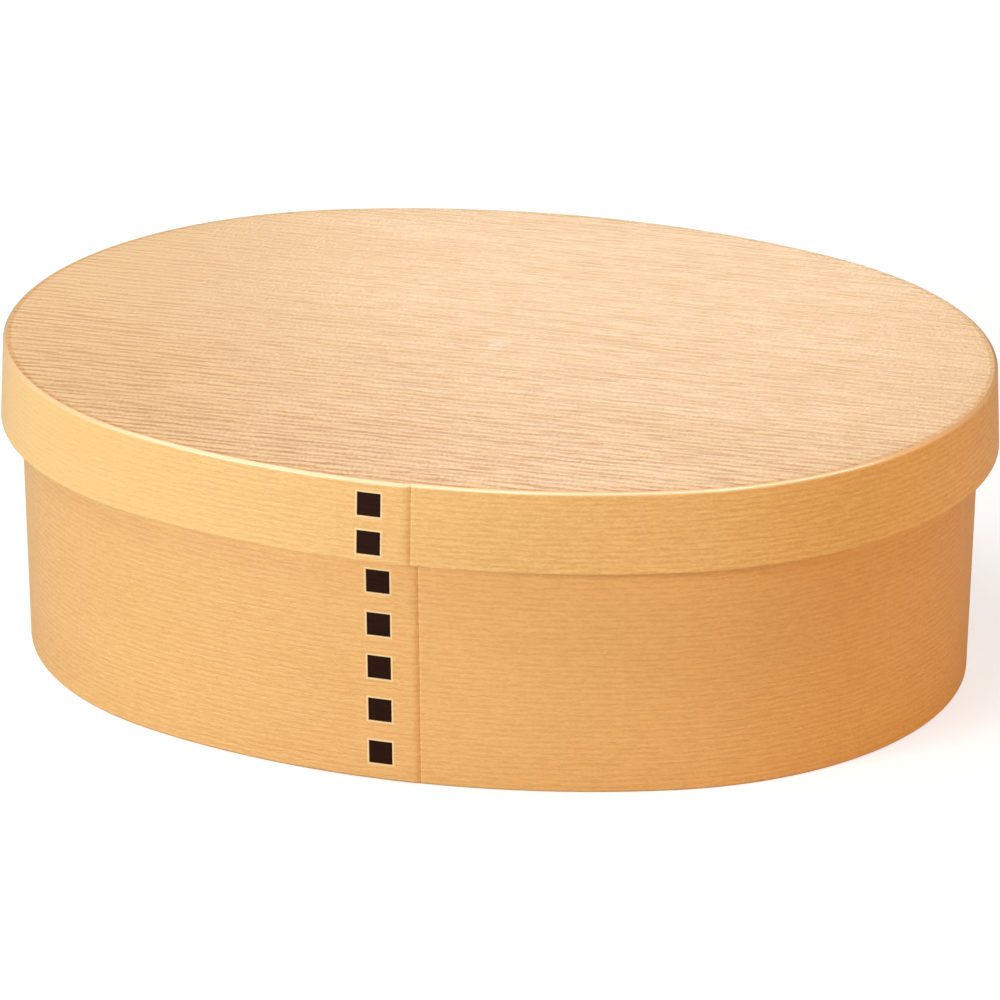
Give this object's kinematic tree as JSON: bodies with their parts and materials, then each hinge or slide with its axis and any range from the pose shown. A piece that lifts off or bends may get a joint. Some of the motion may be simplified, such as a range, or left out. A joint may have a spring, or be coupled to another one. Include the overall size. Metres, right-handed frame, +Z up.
{
  "type": "bento box",
  "caption": "Oval lunch box with a deep cap lid, a sealing inner lid and a loose divider; drafted walls with a lapped, stitched seam on the front.",
  "frame": {"origin": "middle of the foot ring, on the surface that the box stands on", "axes": "+X along the box's length, +Z up; the lapped seam is on the -Y side"},
  "size_m": [0.17, 0.1343, 0.0541],
  "materials": {
    "grain_resin": "satin lacquer over an embossed wood grain",
    "stitch": "satin, dark bark brown",
    "inner_lid": "frosted, slightly clear",
    "gasket": "soft silicone",
    "divider": "satin"
  },
  "bodies": {
    "box": {"body": "grain_resin", "body_stitch_1": "stitch", "body_stitch_2": "stitch", "body_stitch_3": "stitch", "body_stitch_4": "stitch", "body_stitch_5": "stitch"},
    "divider": {"divider": "divider"},
    "inner_lid": {"inner_lid": "inner_lid", "inner_lid_gasket": "gasket"},
    "lid": {"lid": "grain_resin", "lid_stitch_1": "stitch", "lid_stitch_2": "stitch"}
  },
  "joints": [
    {"name": "divider_lift", "type": "slide", "parent": "box", "child": "divider", "axis": [0, 0, 1], "range_m": [0, 0.06]},
    {"name": "inner_lid_lift", "type": "slide", "parent": "divider", "child": "inner_lid", "axis": [0, 0, 1], "range_m": [0, 0.04]},
    {"name": "lid_lift", "type": "slide", "parent": "inner_lid", "child": "lid", "axis": [0, 0, 1], "range_m": [0, 0.05]}
  ]
}
